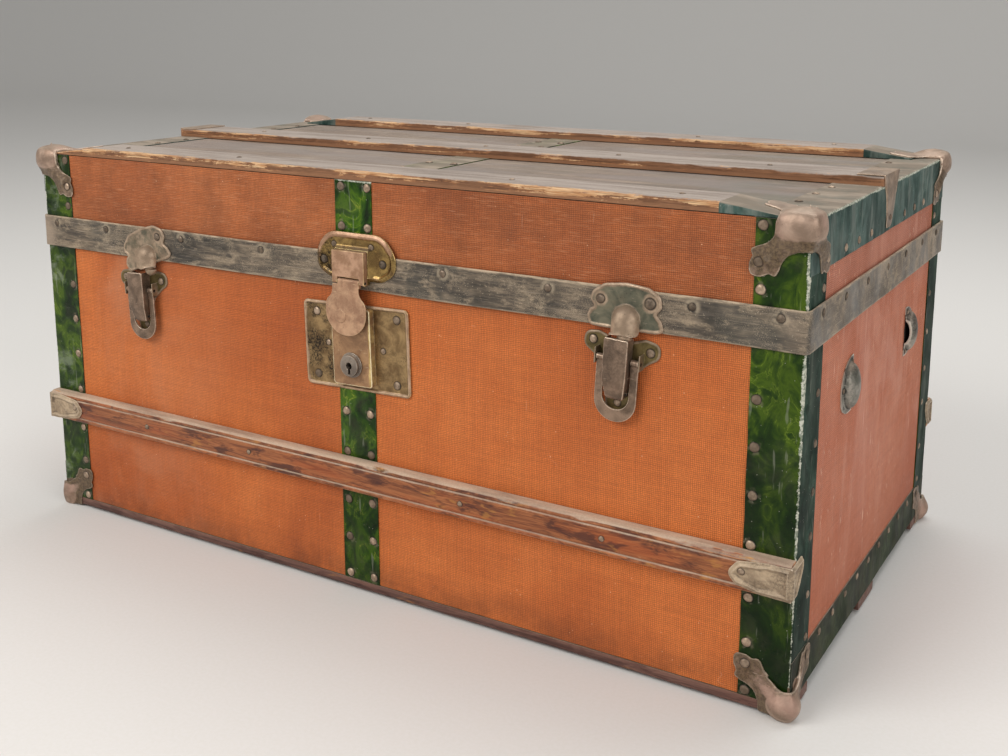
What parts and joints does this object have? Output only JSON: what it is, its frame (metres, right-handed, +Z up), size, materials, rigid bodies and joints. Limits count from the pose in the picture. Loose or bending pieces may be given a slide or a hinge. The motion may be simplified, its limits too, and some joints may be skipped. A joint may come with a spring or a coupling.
{
  "type": "steamer trunk",
  "caption": "Flat-topped steamer trunk with a hinged lid, wood slats, sheet-metal corner bindings, a centre hasp lock and draw latches.",
  "frame": {"origin": "middle of the footprint on the surface the trunk stands on", "axes": "+X to the trunk's right seen from the front, +Y to the back, +Z up; the lock faces -Y"},
  "size_m": [0.834, 0.4692, 0.3969],
  "materials": {
    "board": "unfinished softwood",
    "canvas_body": "painted canvas, worn",
    "canvas_lid": "painted canvas, worn",
    "green_tin": "worn green japanned tin",
    "blue_tin": "worn blue-green japanned tin",
    "band": "worn black with dust",
    "slat": "varnished, worn and dusty",
    "foot_slat": "dark stained",
    "steel": "dull, tarnished",
    "brass": "dull, dirty",
    "dark_steel": "dull, dark",
    "nail": "dull, tarnished"
  },
  "bodies": {
    "trunk_body": {"body_front_board": "board", "body_rear_board": "board", "body_left_board": "board", "body_right_board": "board", "body_floor_board": "board", "body_canvas": "canvas_body", "body_corner_bindings": "green_tin", "body_end_binding_left": "green_tin", "body_end_binding_right": "green_tin", "body_centre_strip": "green_tin", "bottom_slat_front": "foot_slat", "bottom_slat_middle": "foot_slat", "bottom_slat_rear": "foot_slat", "front_slat": "slat", "rear_slat": "slat", "front_slat_clamps": "steel", "rear_slat_clamps": "steel", "bottom_bumpers": "steel", "lock_plate": "brass", "lock_case": "brass", "keyhole_nozzle": "brass", "latch_base_left": "steel", "latch_base_right": "steel", "latch_pins": "dark_steel", "handle_caps_left": "dark_steel", "handle_caps_right": "dark_steel", "hinge_body_leaves": "dark_steel", "hinge_pins": "dark_steel", "body_binding_nails": "nail", "body_fitting_nails": "nail"},
    "trunk_lid": {"lid_front_board": "board", "lid_rear_board": "board", "lid_left_board": "board", "lid_right_board": "board", "lid_top_board": "board", "lid_canvas": "canvas_lid", "lid_corner_bindings": "green_tin", "lid_end_binding_left": "blue_tin", "lid_end_binding_right": "blue_tin", "lid_centre_strip": "green_tin", "lid_valance_bands": "band", "top_slat_front": "slat", "top_slat_rear": "slat", "top_slat_middle": "slat", "top_slat_clamps": "steel", "top_bumpers": "steel", "catch_plate_left": "steel", "catch_plate_right": "steel", "hasp_plate": "brass", "hasp_pin": "dark_steel", "hinge_lid_leaves": "dark_steel", "lid_binding_nails": "nail", "lid_fitting_nails": "nail"},
    "hasp": {"hasp_flap": "brass", "hasp_staple": "dark_steel"},
    "bolt": {"lock_bolt": "dark_steel"},
    "lever_left": {"latch_lever_left": "steel"},
    "lever_right": {"latch_lever_right": "steel"},
    "loop_left": {"latch_loop_left": "steel"},
    "loop_right": {"latch_loop_right": "steel"}
  },
  "joints": [
    {"name": "lid_hinge", "type": "hinge", "parent": "trunk_body", "child": "trunk_lid", "pos_m": [0, 0.22543, 0.3017], "axis": [-1, 0, 0], "range_deg": [0, 100]},
    {"name": "hasp_hinge", "type": "hinge", "parent": "trunk_lid", "child": "hasp", "pos_m": [0.0027, -0.23037, 0.298], "axis": [-1, 0, 0], "range_deg": [0, 100]},
    {"name": "bolt_slide", "type": "slide", "parent": "trunk_body", "child": "bolt", "axis": [0.9996, 0, 0.0279], "range_m": [0, 0.008]},
    {"name": "loop_right_hinge", "type": "hinge", "parent": "trunk_body", "child": "loop_right", "pos_m": [0.26129, -0.22587, 0.26501], "axis": [-0.9981, 0, 0.061], "range_deg": [0, 150]},
    {"name": "lever_right_hinge", "type": "hinge", "parent": "trunk_body", "child": "lever_right", "pos_m": [0.25967, -0.22557, 0.23856], "axis": [0.9981, 0, -0.061], "range_deg": [0, 35]},
    {"name": "loop_left_hinge", "type": "hinge", "parent": "trunk_body", "child": "loop_left", "pos_m": [-0.26535, -0.22587, 0.258], "axis": [-0.999, 0, -0.0436], "range_deg": [0, 150]},
    {"name": "lever_left_hinge", "type": "hinge", "parent": "trunk_body", "child": "lever_left", "pos_m": [-0.26419, -0.22557, 0.23153], "axis": [0.999, 0, 0.0436], "range_deg": [0, 35]}
  ],
  "couplings": [
    {"joint": "lever_right_hinge", "follows": "loop_right_hinge", "ratio": 0.22},
    {"joint": "lever_left_hinge", "follows": "loop_left_hinge", "ratio": 0.22}
  ]
}
